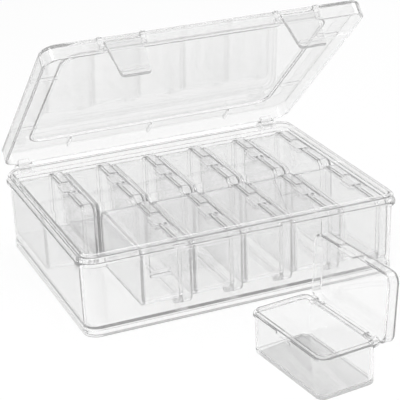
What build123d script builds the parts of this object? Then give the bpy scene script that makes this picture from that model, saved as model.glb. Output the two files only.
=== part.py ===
"""Bead storage box: a clear hinged case that holds clear hinged mini boxes stood on edge.

Millimetres. +X to the right along the front, +Y to the back, +Z up. Every piece is built
about the middle of the case's underside. The lid, the latches and the mini box that lies in
front of the case are built closed and then turned open to their rest pose. At the end all
pieces move back together, so that the origin is the middle of the front foot's underside.
"""
from build123d import *
import os

# Mini boxes: length along the hinge, width from latch to hinge, tray and lid heights
mini_length = 58.0
mini_width = 34.4
mini_tray_height = 20.7
mini_lid_height = 5.7
mini_corner = 5.2
mini_wall = 1.2
mini_floor = 1.6
mini_rim_proud = 1.0
mini_rim_height = 1.6
mini_hinge_overhang = 2.9
mini_lip_height = 1.2
mini_lip_wall = 0.75
mini_lid_wall = 1.2
mini_edge_round = 1.2
mini_rim_round = 0.5

# Mini box hinge: one pin near each end of the long edge
mini_pin_radius = 0.8
mini_pin_clearance = 0.07
mini_knuckle_inset = 0.05
mini_knuckle_radius = 1.3
mini_knuckle_length = 4.0
mini_knuckle_place = 20.0
mini_ear_thickness = 2.4
mini_hinge_drop = 1.5
mini_hinge_relief = 0.7
mini_side_gap = 0.3

# Mini box latch: a tongue on the lid that passes over a ridge on the tray
tongue_width = 11.0
tongue_thickness = 0.9
tongue_length = 3.6
tongue_root = 3.0
tongue_clearance = 0.15
ridge_width = 8.0
ridge_height = 0.8
ridge_proud = 0.4
recess_width = 20.0
recess_depth = 0.5
recess_height = 4.2

# How the mini boxes stand in the case
columns = 6
column_gap = 0.9
side_gap = 0.75
row_gap = 2.1
end_gap = 1.92
headroom = 2.4
empty_column = 0

# Case
wall = 2.0
wall_draft = 0.7
floor_thickness = 2.0
foot_height = 3.2
foot_wall = 3.0
foot_proud = 0.5
foot_band = 3.6
case_corner = 5.0
case_floor_round = 0.4
rim_proud = 0.8
rim_height = 2.6
rim_round = 0.4
flange_proud = 1.0
flange_height = 2.4
flange_round = 0.8
lip_height = 1.2
lip_wall = 1.15

# Small lugs on the front of the rim, by their distance from the middle
rim_lug_places = (-36.0, 21.5)
rim_lug_width = 6.0
rim_lug_height = 1.4

# Case lid
lid_wall = 1.4
lid_plate = 1.6
lid_skirt_height = 6.5
lid_edge_round = 1.2
lid_rim_round = 0.4
panel_side_margin = 13.2
panel_front_margin = 14.0
panel_rear_margin = 10.0
panel_raise = 1.4
panel_corner = 10.0
rib_thickness = 1.0
rib_height = 1.6
side_rib_places = (-30.0, 28.5)
rear_rib_places = (-47.0, 0.0, 47.0)

# Case hinge: two pins behind the rim, each between two ears
hinge_place = 73.0
hinge_width = 9.4
hinge_ear_thickness = 1.5
hinge_ear_radius = 2.1
hinge_pin_radius = 1.0
hinge_pin_clearance = 0.07
hinge_knuckle_radius = 2.0
hinge_drop = 1.0
hinge_ear_depth = 2.8
hinge_running_gap = 0.15
hinge_side_gap = 0.2
lid_open_angle = 42.2

# Case latches: a tab on a barrel that hooks under a catch
latch_place = 46.0
latch_width = 18.8
latch_tip_width = 14.9
latch_thickness = 1.8
latch_length = 21.0
latch_edge_round = 0.6
latch_barrel_radius = 1.7
latch_barrel_sink = 0.3
latch_pin_radius = 0.9
latch_pin_length = 1.8
latch_pin_clearance = 0.06
latch_side_gap = 0.3
latch_rise = 3.0
latch_head = 0.9
latch_angle = 14.0
latch_running_gap = 0.25
cheek_thickness = 2.4
cheek_radius = 1.9
hook_width = 12.0
hook_rise = 4.7
hook_height = 1.4
hook_reach = 1.1
hook_gap = 0.2
catch_width = 10.2
catch_ridge_height = 0.9
catch_ridge_proud = 1.2

# Where the mini box that is out of the case lies, by its middle
loose_x = 0.9
loose_y = -132.8
loose_turn = 6.5
loose_lid_angle = 94.0

# Sizes that follow from the ones above
mini_depth = mini_tray_height + mini_lid_height
column_pitch = mini_depth + column_gap
inner_width = columns * mini_depth + (columns - 1) * column_gap + 2 * side_gap
inner_depth = 2 * mini_length + row_gap + 2 * end_gap
wall_width = inner_width + 2 * wall
wall_depth = inner_depth + 2 * wall
rim_width = wall_width + 2 * rim_proud
rim_depth = wall_depth + 2 * rim_proud
flange_width = rim_width + 2 * flange_proud
flange_depth = rim_depth + 2 * flange_proud
foot_width = wall_width - 2 * wall_draft
foot_depth = wall_depth - 2 * wall_draft
front_foot_y = -(foot_depth - foot_wall) / 2
floor_top = foot_height + floor_thickness
seat = floor_top + mini_width + headroom
flange_top = seat - rim_height
flange_low = flange_top - flange_height
lid_underside = seat + lid_skirt_height
lid_top = lid_underside + lid_plate
panel_width = rim_width - 2 * panel_side_margin
panel_depth = rim_depth - panel_front_margin - panel_rear_margin
panel_y = (panel_front_margin - panel_rear_margin) / 2
hinge_y = flange_depth / 2 + hinge_running_gap + hinge_knuckle_radius
hinge_z = seat - hinge_drop
latch_back = -(flange_depth / 2 + latch_running_gap)
latch_front = latch_back - latch_thickness
latch_axis_y = latch_back + latch_barrel_radius - latch_barrel_sink
latch_axis_z = seat + latch_rise
latch_tip = latch_axis_z - latch_length
hook_top = latch_tip + hook_rise
catch_low = hook_top + hook_gap
catch_front = latch_back + latch_running_gap
lower_ridge = catch_low - hook_height - 2 * hook_gap - catch_ridge_height

mini_body_low_x = -mini_width / 2 + mini_rim_proud
mini_body_high_x = mini_width / 2 - mini_hinge_overhang
mini_body_width = mini_body_high_x - mini_body_low_x
mini_body_x = (mini_body_high_x + mini_body_low_x) / 2
mini_body_length = mini_length - 2 * mini_rim_proud
mini_axis_x = mini_width / 2 - mini_knuckle_radius - mini_knuckle_inset
mini_axis_z = mini_tray_height - mini_hinge_drop


def slab(width, depth, corner, low, high, x=0.0):
    """A plate with rounded upright corners, from height low to height high."""
    return extrude(Pos(x, 0, low) * RectangleRounded(width, depth, corner), high - low)


def block(low, high):
    """A box between two opposite corners."""
    size = [b - a for a, b in zip(low, high)]
    middle = [(a + b) / 2 for a, b in zip(low, high)]
    return Pos(*middle) * Box(*size)


def rod_x(radius, low, high, y, z):
    """A round bar along X."""
    return Pos((low + high) / 2, y, z) * Rot(0, 90, 0) * Cylinder(radius, high - low)


def rod_y(radius, low, high, x, z):
    """A round bar along Y."""
    return Pos(x, (low + high) / 2, z) * Rot(90, 0, 0) * Cylinder(radius, high - low)


def round_low(solid, radius):
    """Rounds the edges round the lowest face."""
    return fillet(solid.edges().group_by(Axis.Z)[0], radius)


def round_high(solid, radius):
    """Rounds the edges round the highest face."""
    return fillet(solid.edges().group_by(Axis.Z)[-1], radius)


def case_base():
    """The case: foot, tapered wall, flange, rim and lip, with hinge ears and catches."""
    corner = case_corner + wall
    body = loft([
        RectangleRounded(foot_width, foot_depth, corner - wall_draft),
        Pos(0, 0, flange_low) * RectangleRounded(wall_width, wall_depth, corner),
    ])
    foot = slab(foot_width + 2 * foot_proud, foot_depth + 2 * foot_proud, corner, 0, foot_band)
    flange = slab(flange_width, flange_depth, corner + rim_proud + flange_proud,
                  flange_low, flange_top)
    rim = slab(rim_width, rim_depth, corner + rim_proud, flange_low, seat)
    flange = round_high(round_low(flange, flange_round), flange_round)
    lip = slab(inner_width + 2 * lip_wall, inner_depth + 2 * lip_wall,
               case_corner + lip_wall, seat - lip_height, seat + lip_height)
    solid = body + round_high(round_low(foot, foot_proud), foot_proud)
    solid += flange + round_high(rim, rim_round) + lip
    for place in rim_lug_places:
        solid += rim_lug(place)
    for place in (-latch_place, latch_place):
        solid += catch(place)
    for place in (-hinge_place, hinge_place):
        solid += hinge_ears(place)
    cavity = slab(inner_width, inner_depth, case_corner, floor_top,
                  seat + 2 * lip_height)
    under = slab(foot_width - 2 * foot_wall, foot_depth - 2 * foot_wall, case_corner,
                 -foot_height, foot_height)
    return solid - round_low(cavity, case_floor_round) - under


def rim_lug(place):
    """A small lug on the flange, against the front of the rim."""
    front = -flange_depth / 2 + flange_proud / 4
    return block((place - rim_lug_width / 2, front, flange_low),
                 (place + rim_lug_width / 2, -wall_depth / 2, flange_top + rim_lug_height))


def catch(place):
    """The block on the front wall that a latch hooks under, and the ridges round its hook."""
    back = -inner_depth / 2 - wall / 2
    body = block((place - catch_width / 2, catch_front + catch_ridge_proud, catch_low),
                 (place + catch_width / 2, back, flange_low))
    for low in (catch_low, lower_ridge):
        body += block((place - catch_width / 2, catch_front, low),
                      (place + catch_width / 2, back, low + catch_ridge_height))
    return body


def hinge_ears(place):
    """Two ears behind the rim, with the hinge pin between them."""
    start, end = place - hinge_width / 2, place + hinge_width / 2
    ears = rod_x(hinge_pin_radius, start, end, hinge_y, hinge_z)
    for low in (start, end - hinge_ear_thickness):
        high = low + hinge_ear_thickness
        ears += rod_x(hinge_ear_radius, low, high, hinge_y, hinge_z)
        ears += block((low, wall_depth / 2, hinge_z - hinge_ear_depth),
                      (high, hinge_y + hinge_ear_radius, hinge_z))
    return ears


def case_lid():
    """The case's lid, closed: a skirt and plate with a raised panel, ribs and hinge arms."""
    corner = case_corner + wall + rim_proud
    inner_corner = corner - lid_wall
    shell = round_high(slab(rim_width, rim_depth, corner, seat, lid_top), lid_edge_round)
    shell = round_low(shell, lid_rim_round)
    panel = slab(panel_width, panel_depth, panel_corner, lid_underside,
                 lid_top + panel_raise)
    hollow = slab(rim_width - 2 * lid_wall, rim_depth - 2 * lid_wall, inner_corner,
                  seat - lid_skirt_height, lid_underside)
    recess = slab(panel_width - 2 * lid_plate, panel_depth - 2 * lid_plate,
                  panel_corner - lid_plate, seat, lid_underside + panel_raise)
    solid = shell + Pos(0, panel_y, 0) * round_high(panel, lid_edge_round)
    solid -= round_high(hollow, lid_plate / 2) + Pos(0, panel_y, 0) * recess
    for rib in lid_ribs():
        solid += rib
    for place in (-latch_place, latch_place):
        solid = latch_slot(solid, place)
    for place in (-hinge_place, hinge_place):
        solid += hinge_arm(place)
    return solid


def lid_ribs():
    """Short ribs under the lid's border, from the skirt towards the raised panel."""
    low, high = lid_underside - rib_height, lid_underside + lid_plate / 2
    half = rib_thickness / 2
    skirt_x, panel_x = rim_width / 2 - lid_wall / 2, panel_width / 2 - lid_plate / 2
    skirt_y, rear_y = rim_depth / 2 - lid_wall / 2, panel_y + (panel_depth - lid_plate) / 2
    for place in side_rib_places:
        yield block((-skirt_x, place - half, low), (-panel_x, place + half, high))
        yield block((panel_x, place - half, low), (skirt_x, place + half, high))
    for place in rear_rib_places:
        yield block((place - half, rear_y, low), (place + half, skirt_y, high))


def latch_slot(lid, place):
    """Cuts the slot for a latch in the lid's front skirt and adds its two pin cheeks."""
    half = latch_width / 2 + latch_side_gap
    cheek_back = -rim_depth / 2 + lid_wall
    lid -= block((place - half, -rim_depth, seat - 1),
                 (place + half, latch_axis_y + latch_barrel_radius + latch_side_gap,
                  lid_underside))
    for low in (place - half - cheek_thickness, place + half):
        high = low + cheek_thickness
        cheek = rod_x(cheek_radius, low, high, latch_axis_y, latch_axis_z)
        cheek += block((low, latch_axis_y - cheek_radius, latch_axis_z),
                       (high, cheek_back, lid_underside + lid_plate / 2))
        lid += cheek
    hole = latch_pin_radius + latch_pin_clearance
    reach = half + cheek_thickness
    return lid - rod_x(hole, place - reach, place + reach, latch_axis_y, latch_axis_z)


def hinge_arm(place):
    """The arm and ring behind the lid's skirt that turn on the case's hinge pin."""
    half = hinge_width / 2 - hinge_ear_thickness - hinge_side_gap
    arm = rod_x(hinge_knuckle_radius, place - half, place + half, hinge_y, hinge_z)
    arm += block((place - half, rim_depth / 2 - lid_wall / 2, seat + hinge_running_gap),
                 (place + half, hinge_y, hinge_z + hinge_knuckle_radius + lid_plate))
    bore = hinge_pin_radius + hinge_pin_clearance
    return arm - rod_x(bore, place - half, place + half, hinge_y, hinge_z)


def latch(place):
    """A latch, closed: a barrel with two pins, a tapered tab and the hook inside it."""
    half = latch_width / 2
    solid = rod_x(latch_barrel_radius, place - half, place + half,
                  latch_axis_y, latch_axis_z)
    pin_reach = half + latch_side_gap + latch_pin_length
    solid += rod_x(latch_pin_radius, place - pin_reach, place + pin_reach,
                   latch_axis_y, latch_axis_z)
    solid += latch_tab(place)
    solid += block((place - hook_width / 2, latch_front, hook_top - hook_height),
                   (place + hook_width / 2, latch_back + hook_reach, hook_top))
    return solid


def latch_tab(place):
    """The latch's flat tab, narrower at its tip, with rounded corners and front edges."""
    top = latch_axis_z + latch_head
    outline = make_face(Polyline(
        (-latch_width / 2, top), (latch_width / 2, top),
        (latch_tip_width / 2, latch_tip), (-latch_tip_width / 2, latch_tip), close=True))
    outline = fillet(outline.vertices().group_by(Axis.Y)[0], latch_thickness)
    face = Plane(origin=(place, latch_back, 0), x_dir=(1, 0, 0), z_dir=(0, -1, 0)) * outline
    tab = extrude(face, latch_thickness)
    return fillet(tab.edges().group_by(Axis.Y)[0], latch_edge_round)


def mini_tray():
    """A mini box's tray, flat on its floor, latch side towards -X and hinge towards +X."""
    corner = mini_corner - mini_rim_proud
    body = slab(mini_body_width, mini_body_length, corner, 0, mini_tray_height, mini_body_x)
    rim = slab(mini_width, mini_length, mini_corner,
               mini_tray_height - mini_rim_height, mini_tray_height)
    lip_inset = mini_wall - mini_lip_wall
    lip = slab(mini_body_width - 2 * lip_inset, mini_body_length - 2 * lip_inset,
               corner - lip_inset, mini_tray_height - mini_rim_height,
               mini_tray_height + mini_lip_height, mini_body_x)
    solid = round_low(body, mini_edge_round) + lip
    solid += round_high(round_low(rim, mini_rim_round), mini_rim_round)
    solid += mini_ridge()
    cavity = slab(mini_body_width - 2 * mini_wall, mini_body_length - 2 * mini_wall,
                  corner - mini_wall / 2, mini_floor,
                  mini_tray_height + 2 * mini_lip_height, mini_body_x)
    solid -= round_low(cavity, mini_edge_round)
    solid -= tongue_notch()
    for side in (-1, 1):
        solid = mini_hinge_pin(solid, side)
    return solid


def mini_ridge():
    """The ridge on the tray's wall that the lid's tongue passes over."""
    high = mini_tray_height - mini_rim_height - ridge_height
    return block((mini_body_low_x - ridge_proud, -ridge_width / 2, high - ridge_height),
                 (mini_body_low_x + mini_wall / 2, ridge_width / 2, high))


def tongue_notch():
    """The notch in the tray's rim that the lid's tongue lies in."""
    half = tongue_width / 2 + 2 * tongue_clearance
    return block((-mini_width, -half, mini_tray_height - mini_rim_height),
                 (mini_body_low_x - ridge_proud, half, mini_tray_height))


def mini_hinge_pin(tray, side):
    """Cuts the rim back round one knuckle and adds the ear and the pin that it turns on."""
    inner = mini_knuckle_place - mini_knuckle_length / 2 - mini_side_gap
    outer = mini_knuckle_place + mini_knuckle_length / 2 + mini_side_gap
    low, high = sorted((side * inner, side * outer))
    tray -= block((mini_body_high_x, low, 0), (mini_width, high, 2 * mini_tray_height))
    ear_low, ear_high = sorted((side * outer, side * (outer + mini_ear_thickness)))
    tray += block((mini_body_high_x - mini_wall / 2, ear_low,
                   mini_axis_z - mini_knuckle_radius),
                  (mini_axis_x + mini_knuckle_radius, ear_high, mini_tray_height))
    pin_low, pin_high = sorted((side * (inner + mini_side_gap), side * (outer + mini_side_gap)))
    return tray + rod_y(mini_pin_radius, pin_low, pin_high, mini_axis_x, mini_axis_z)


def mini_lid():
    """A mini box's lid, closed on its tray."""
    top = mini_tray_height + mini_lid_height
    shell = slab(mini_width, mini_length, mini_corner, mini_tray_height, top)
    hollow = slab(mini_width - 2 * mini_lid_wall, mini_length - 2 * mini_lid_wall,
                  mini_corner - mini_lid_wall, 0, top - mini_lid_wall)
    solid = round_low(round_high(shell, mini_edge_round), mini_rim_round) - hollow
    relief = mini_axis_x - mini_hinge_drop
    solid -= block((relief, -mini_length, 0),
                   (mini_width, mini_length, mini_tray_height + mini_hinge_relief))
    solid -= latch_recess()
    solid += tongue()
    for side in (-1, 1):
        solid += mini_knuckle(side)
    return solid


def latch_recess():
    """The shallow recess in the lid's latch side, on both sides of the tongue."""
    return block((-mini_width, -recess_width / 2, 0),
                 (-mini_width / 2 + recess_depth, recess_width / 2,
                  mini_tray_height + recess_height))


def tongue():
    """The tongue that hangs from the lid over the tray's rim."""
    inner = mini_body_low_x - ridge_proud - tongue_clearance
    outer = inner - tongue_thickness
    half = tongue_width / 2
    tab = block((outer, -half, mini_tray_height - tongue_length),
                (inner, half, mini_tray_height + tongue_root))
    return tab + block((outer, -half, mini_tray_height + tongue_clearance),
                       (-mini_width / 2 + mini_lid_wall, half,
                        mini_tray_height + tongue_root))


def mini_knuckle(side):
    """The ring on the lid that turns on one of the tray's pins, and the web that holds it."""
    low, high = sorted((side * (mini_knuckle_place - mini_knuckle_length / 2),
                        side * (mini_knuckle_place + mini_knuckle_length / 2)))
    ring = rod_y(mini_knuckle_radius, low, high, mini_axis_x, mini_axis_z)
    ring += block((mini_width / 2 - mini_lid_wall, low, mini_axis_z),
                  (mini_axis_x + mini_knuckle_radius, high,
                   mini_tray_height + mini_lid_height / 2))
    bore = mini_pin_radius + mini_pin_clearance
    return ring - rod_y(bore, low, high, mini_axis_x, mini_axis_z)


def stored(column, row):
    """The place of a mini box on edge in the case: lid to the right, latch at the top."""
    x = -inner_width / 2 + side_gap + column * column_pitch
    y = (mini_length + row_gap) / 2 * (1 if row == "back" else -1)
    return Pos(x, y, floor_top + mini_width / 2) * Rot(0, 90, 0)


def opened(solid, y, z, angle):
    """Turns a solid about an X axis at (y, z) so that its front rises."""
    return Pos(0, y, z) * Rot(-angle, 0, 0) * Pos(0, -y, -z) * solid


def pieces():
    """Every piece in its rest pose, by name."""
    yield "outer_base", case_base()
    yield "outer_lid", opened(case_lid(), hinge_y, hinge_z, lid_open_angle)
    for side, place in (("left", -latch_place), ("right", latch_place)):
        hung = opened(latch(place), latch_axis_y, latch_axis_z, latch_angle)
        yield f"latch_{side}", opened(hung, hinge_y, hinge_z, lid_open_angle)
    tray, lid = mini_tray(), mini_lid()
    for row in ("back", "front"):
        for column in range(columns):
            if row == "front" and column == empty_column:
                continue
            yield f"mini_tray_{row}_{column + 1}", stored(column, row) * tray
            yield f"mini_lid_{row}_{column + 1}", stored(column, row) * lid
    place = Pos(loose_x, loose_y, 0) * Rot(0, 0, loose_turn)
    swing = Pos(mini_axis_x, 0, mini_axis_z) * Rot(0, loose_lid_angle, 0)
    yield "mini_tray_loose", place * tray
    yield "mini_lid_loose", place * swing * Pos(-mini_axis_x, 0, -mini_axis_z) * lid


os.makedirs("parts", exist_ok=True)
for name, solid in pieces():
    export_step(Pos(0, -front_foot_y, 0) * solid, f"parts/{name}.step")
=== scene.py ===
"""Bead storage box: a clear hinged case of clear mini boxes, with one of them out on the table.

Metres, in the part's own frame. Every piece is the frame's own, finished in moulded clear
plastic; the scene adds only the table top.
"""
import bpy
import math
from mathutils import Matrix, Vector

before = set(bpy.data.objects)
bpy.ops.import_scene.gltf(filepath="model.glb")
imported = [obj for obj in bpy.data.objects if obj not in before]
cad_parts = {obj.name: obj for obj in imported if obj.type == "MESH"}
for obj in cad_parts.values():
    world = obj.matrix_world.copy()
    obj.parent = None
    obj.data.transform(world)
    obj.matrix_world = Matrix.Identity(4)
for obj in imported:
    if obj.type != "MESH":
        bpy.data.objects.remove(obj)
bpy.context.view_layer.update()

# The photograph's camera, as it looks at a point on the table
camera_azimuth = -22.603
camera_elevation = 22.90
camera_roll = -1.967
camera_target = (0.03141, 0.13075, 0.0)
camera_distance = 0.8349
camera_lens = 128.73
camera_sensor = 36.0

# The studio: directions are parts of a unit vector from the case, so 0.86 is nearly sideways
floor_half = 4.0
backdrop_white = "#ffffff"
paper_white = "#fafafa"
room_grey = "#ececec"
flag_grey = "#848484"
backdrop_from, backdrop_to = -0.1, 0.55
sky_from, sky_to = 0.75, 0.35
side_from, side_to = 0.85, 0.7
flag_from, flag_to = 0.86, 0.93
glow_share = 0.7
key_place, key_size, key_watts = (-0.9, -0.7, 1.3), (0.9, 0.6), 11.0
side_place, side_size, side_watts = (1.3, 0.1, 1.1), (0.9, 0.7), 5.0
lamp_aim = (0, 0.05, 0)
light_bounces = 24
clear_layers = 64

# Clear polystyrene, injection moulded and polished: water clear, bright at its edges, with
# hard small highlights. The melt's flow leaves a ripple with waves about 18 mm long.
polystyrene_ior = 1.59
ripple_wave = 0.018
ripple_detail, ripple_roughness, ripple_strength = 2.0, 0.4, 0.25
case_ripple, mini_ripple = 0.0004, 0.0003
gloss_roughness = 0.02
# The edge power and edge grey below darken a wall's colour where it is seen edge-on: painted shade.
edge_shade_power = 5.0
# The share, grey and height of the band along the lowest edge, below, are a painted contact shadow
# by the table.
contact_shadow_share = 0.7
milk_white = "#eaeaea"
painted_contact_shadow_grey = "#8c8c8c"
contact_shadow_height = 0.0008
painted_edge_shade_grey = "#606060"
shadow_tint = "#fcfcfc"
trapped_after = 12.0


def linear(hex_colour, alpha=1.0):
    """An sRGB hex colour as linear red, green, blue and alpha."""
    parts = [int(hex_colour[i:i + 2], 16) / 255 for i in (1, 3, 5)]
    return (*[p / 12.92 if p <= 0.04045 else ((p + 0.055) / 1.055) ** 2.4 for p in parts], alpha)


def add(tree, kind, settings=None, inputs=None, links=None):
    """Adds a node: settings are its attributes, inputs its socket values, links its sources."""
    node = tree.nodes.new(kind)
    for name, value in (settings or {}).items():
        setattr(node, name, value)
    for name, value in (inputs or {}).items():
        node.inputs[name].default_value = value
    for name, source in (links or {}).items():
        tree.links.new(source, node.inputs[name])
    return node


def new_tree(name):
    """A material with an empty node tree, and the tree."""
    material = bpy.data.materials.new(name)
    material.use_nodes = True
    material.node_tree.nodes.clear()
    return material, material.node_tree


def clear_plastic(name, tint, haze, ripple_height):
    """Injection-moulded clear polystyrene: water clear and glossy, with the faint long ripple
    that the melt leaves as it flows, and a little milky haze for the look. Seen edge-on
    its colour is darkened towards painted_edge_shade_grey, painted shade for the dark lines at its
    edges.
    It casts hardly any shadow. Its lowest edge, up to contact_shadow_height above the table, is
    darkened towards grey, a painted contact shadow. Light caught in it goes straight on after
    trapped_after turns, so that stacked walls stay clear."""
    material, tree = new_tree(name)
    place = add(tree, "ShaderNodeTexCoord")
    flow = add(tree, "ShaderNodeTexNoise", {"noise_dimensions": "3D"},
               {"Scale": 1 / ripple_wave, "Detail": ripple_detail,
                "Roughness": ripple_roughness},
               {"Vector": place.outputs["Object"]})
    ripple = add(tree, "ShaderNodeBump", {}, 
                 {"Strength": ripple_strength, "Distance": ripple_height},
                 {"Height": flow.outputs["Fac"]})
    # Painted shade: the base colour darkens towards a mid grey where the surface is seen edge-on,
    # for the dark lines at its edges.
    slant = add(tree, "ShaderNodeLayerWeight", {}, {"Blend": 0.5})
    edge_shade_mask = add(tree, "ShaderNodeMath", {"operation": "POWER"}, {1: edge_shade_power},
                  {0: slant.outputs["Facing"]})
    edge_shade_mix = add(tree, "ShaderNodeMix", {"data_type": "RGBA"}, {}, {"Factor": edge_shade_mask.outputs[0]})
    colours = [s for s in edge_shade_mix.inputs if s.type == "RGBA"]
    colours[0].default_value, colours[1].default_value = linear(tint), linear(painted_edge_shade_grey)
    edge_shaded_colour = [s for s in edge_shade_mix.outputs if s.type == "RGBA"][0]
    plastic = add(tree, "ShaderNodeBsdfPrincipled", {},
                  {"Roughness": gloss_roughness, "IOR": polystyrene_ior,
                   "Transmission Weight": 1.0},
                  {"Base Color": edge_shaded_colour, "Normal": ripple.outputs["Normal"]})
    milk = add(tree, "ShaderNodeBsdfDiffuse", {}, {"Color": linear(milk_white)})
    hazy = add(tree, "ShaderNodeMixShader", {}, {"Fac": haze},
               {1: plastic.outputs[0], 2: milk.outputs[0]})
    # Painted contact shadow: a grey band along the lowest edge, just above the table.
    contact_shadow_bsdf = add(tree, "ShaderNodeBsdfDiffuse", {}, {"Color": linear(painted_contact_shadow_grey)})
    height = add(tree, "ShaderNodeSeparateXYZ", {}, {}, {0: place.outputs["Object"]})
    contact_shadow_mask = add(tree, "ShaderNodeMapRange", {"interpolation_type": "SMOOTHSTEP"},
                 {"From Min": contact_shadow_height, "From Max": contact_shadow_height / 4, "To Max": contact_shadow_share},
                 {"Value": height.outputs["Z"]})
    with_contact_shadow = add(tree, "ShaderNodeMixShader", {}, {},
               {0: contact_shadow_mask.outputs[0], 1: hazy.outputs[0], 2: contact_shadow_bsdf.outputs[0]})
    through = add(tree, "ShaderNodeBsdfTransparent", {}, {"Color": linear(shadow_tint)})
    path = add(tree, "ShaderNodeLightPath")
    soft = add(tree, "ShaderNodeMath", {"operation": "MAXIMUM"}, {},
               {0: path.outputs["Is Shadow Ray"], 1: path.outputs["Is Diffuse Ray"]})
    trapped = add(tree, "ShaderNodeMath", {"operation": "GREATER_THAN"}, {1: trapped_after},
                  {0: path.outputs["Ray Depth"]})
    passes = add(tree, "ShaderNodeMath", {"operation": "MAXIMUM"}, {},
                 {0: soft.outputs[0], 1: trapped.outputs[0]})
    mix = add(tree, "ShaderNodeMixShader", {}, {},
              {0: passes.outputs[0], 1: with_contact_shadow.outputs[0], 2: through.outputs[0]})
    add(tree, "ShaderNodeOutputMaterial", {}, {}, {"Surface": mix.outputs[0]})
    return material


def table_top():
    """A plain white sweep of coated paper: it shows white, and keeps a faint shadow."""
    material, tree = new_tree("white_coated_paper")
    paper = add(tree, "ShaderNodeBsdfDiffuse", {}, {"Color": linear(paper_white)})
    glow = add(tree, "ShaderNodeEmission", {}, {"Color": linear(paper_white), "Strength": 1.0})
    path = add(tree, "ShaderNodeLightPath")
    seen = add(tree, "ShaderNodeMath", {"operation": "MAXIMUM"}, {},
               {0: path.outputs["Is Camera Ray"], 1: path.outputs["Is Transmission Ray"]})
    seen = add(tree, "ShaderNodeMath", {"operation": "MAXIMUM"}, {},
               {0: seen.outputs[0], 1: path.outputs["Is Glossy Ray"]})
    share = add(tree, "ShaderNodeMath", {"operation": "MULTIPLY"}, {1: glow_share},
                {0: seen.outputs[0]})
    mix = add(tree, "ShaderNodeMixShader", {}, {},
              {0: share.outputs[0], 1: paper.outputs[0], 2: glow.outputs[0]})
    add(tree, "ShaderNodeOutputMaterial", {}, {}, {"Surface": mix.outputs[0]})
    return material


def studio():
    """A white backdrop behind, a pale grey room in front and above, and a mid-grey flag at each
    side, all seen in gloss and through edges."""
    world = bpy.data.worlds.new("studio")
    bpy.context.scene.world = world
    world.use_nodes = True
    tree = world.node_tree
    tree.nodes.clear()
    direction = add(tree, "ShaderNodeTexCoord")
    axes = add(tree, "ShaderNodeSeparateXYZ", {}, {}, {0: direction.outputs["Object"]})
    behind = add(tree, "ShaderNodeMapRange", {"interpolation_type": "SMOOTHSTEP"},
                 {"From Min": backdrop_from, "From Max": backdrop_to}, {"Value": axes.outputs["Y"]})
    above = add(tree, "ShaderNodeMapRange", {"interpolation_type": "SMOOTHSTEP"},
                {"From Min": sky_from, "From Max": sky_to}, {"Value": axes.outputs["Z"]})
    across = add(tree, "ShaderNodeMath", {"operation": "ABSOLUTE"}, {}, {0: axes.outputs["X"]})
    aside = add(tree, "ShaderNodeMapRange", {"interpolation_type": "SMOOTHSTEP"},
                {"From Min": side_from, "From Max": side_to}, {"Value": across.outputs[0]})
    low = add(tree, "ShaderNodeMath", {"operation": "MULTIPLY"}, {},
              {0: above.outputs[0], 1: aside.outputs[0]})
    both = add(tree, "ShaderNodeMath", {"operation": "MULTIPLY"}, {},
               {0: behind.outputs[0], 1: low.outputs[0]})
    room = add(tree, "ShaderNodeMix", {"data_type": "RGBA"}, {}, {"Factor": both.outputs[0]})
    room.inputs["A"].default_value = linear(room_grey)
    room.inputs["B"].default_value = linear(backdrop_white)
    flagged = add(tree, "ShaderNodeMapRange", {"interpolation_type": "SMOOTHSTEP"},
                  {"From Min": flag_from, "From Max": flag_to}, {"Value": across.outputs[0]})
    path = add(tree, "ShaderNodeLightPath")
    seen = add(tree, "ShaderNodeMix", {"data_type": "RGBA"}, {},
               {"Factor": path.outputs["Is Camera Ray"]})
    seen.inputs["B"].default_value = linear(backdrop_white)
    walled = add(tree, "ShaderNodeMix", {"data_type": "RGBA"}, {},
                 {"Factor": flagged.outputs[0]})
    tree.links.new([s for s in room.outputs if s.type == "RGBA"][0], walled.inputs["A"])
    walled.inputs["B"].default_value = linear(flag_grey)
    colour = [s for s in walled.outputs if s.type == "RGBA"][0]
    tree.links.new(colour, [s for s in seen.inputs if s.type == "RGBA"][0])
    shown = [s for s in seen.outputs if s.type == "RGBA"][0]
    light = add(tree, "ShaderNodeBackground", {}, {"Strength": 1.0}, {"Color": shown})
    add(tree, "ShaderNodeOutputWorld", {}, {}, {"Surface": light.outputs[0]})


def soft_box(name, place, target, size, power):
    """A large rectangular soft box that faces a point."""
    lamp = bpy.data.lights.new(name, "AREA")
    lamp.shape = "RECTANGLE"
    lamp.size, lamp.size_y = size
    lamp.energy = power
    lamp_object = bpy.data.objects.new(name, lamp)
    lamp_object.location = place
    aim = Vector(target) - Vector(place)
    lamp_object.rotation_euler = aim.to_track_quat("-Z", "Y").to_euler()
    bpy.context.scene.collection.objects.link(lamp_object)


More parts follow.
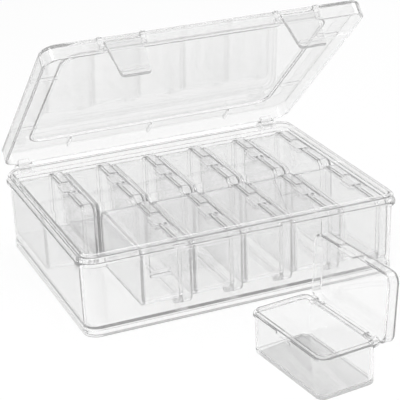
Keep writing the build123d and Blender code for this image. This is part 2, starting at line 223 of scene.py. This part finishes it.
def floor():
    """The table top, a flat sheet at the height that the case stands on."""
    mesh = bpy.data.meshes.new("floor")
    corners = [(-floor_half, -floor_half, 0), (floor_half, -floor_half, 0),
               (floor_half, floor_half, 0), (-floor_half, floor_half, 0)]
    mesh.from_pydata(corners, [], [(0, 1, 2, 3)])
    sheet = bpy.data.objects.new("floor", mesh)
    sheet.data.materials.append(table_top())
    bpy.context.scene.collection.objects.link(sheet)


def camera():
    """The camera, turned by azimuth, elevation and roll about its target."""
    azimuth, elevation = math.radians(camera_azimuth), math.radians(camera_elevation)
    back = Vector((math.sin(azimuth) * math.cos(elevation),
                   -math.cos(azimuth) * math.cos(elevation), math.sin(elevation)))
    right = Vector((0, 0, 1)).cross(back).normalized()
    up = back.cross(right)
    roll = math.radians(camera_roll)
    across = right * math.cos(roll) + up * math.sin(roll)
    upright = up * math.cos(roll) - right * math.sin(roll)
    view = bpy.data.cameras.new("camera")
    view.lens, view.sensor_width = camera_lens, camera_sensor
    eye = bpy.data.objects.new("camera", view)
    turn = Matrix((across, upright, back)).transposed().to_4x4()
    eye.matrix_world = Matrix.Translation(Vector(camera_target) + back * camera_distance) @ turn
    bpy.context.scene.collection.objects.link(eye)
    bpy.context.scene.camera = eye


def dress(nodes, material):
    """Gives CAD nodes one material."""
    for name in nodes:
        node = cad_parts[name]
        node.data.materials.clear()
        node.data.materials.append(material)


# One resin for every moulding. Each one's tint and share of haze were matched to the tones of
# the photograph, and aren't measured from a real box.
case_plastic = clear_plastic("clear_polystyrene_case", "#ffffff", 0.08, case_ripple)
lid_plastic = clear_plastic("clear_polystyrene_lid", "#fdfdfd", 0.11, case_ripple)
latch_plastic = clear_plastic("clear_polystyrene_latch", "#f2f2f2", 0.14, mini_ripple)
mini_plastic = clear_plastic("clear_polystyrene_mini_box", "#fdfdfd", 0.08, mini_ripple)
dress(["outer_base"], case_plastic)
dress(["outer_lid"], lid_plastic)
dress(["latch_left", "latch_right"], latch_plastic)
dress([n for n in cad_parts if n.startswith("mini")], mini_plastic)

floor()
studio()
soft_box("key", key_place, lamp_aim, key_size, key_watts)
soft_box("side", side_place, lamp_aim, side_size, side_watts)
camera()
bpy.context.scene.view_settings.view_transform = "Standard"
cycles = bpy.context.scene.cycles
cycles.max_bounces = light_bounces
cycles.transmission_bounces = light_bounces
cycles.transparent_max_bounces = clear_layers
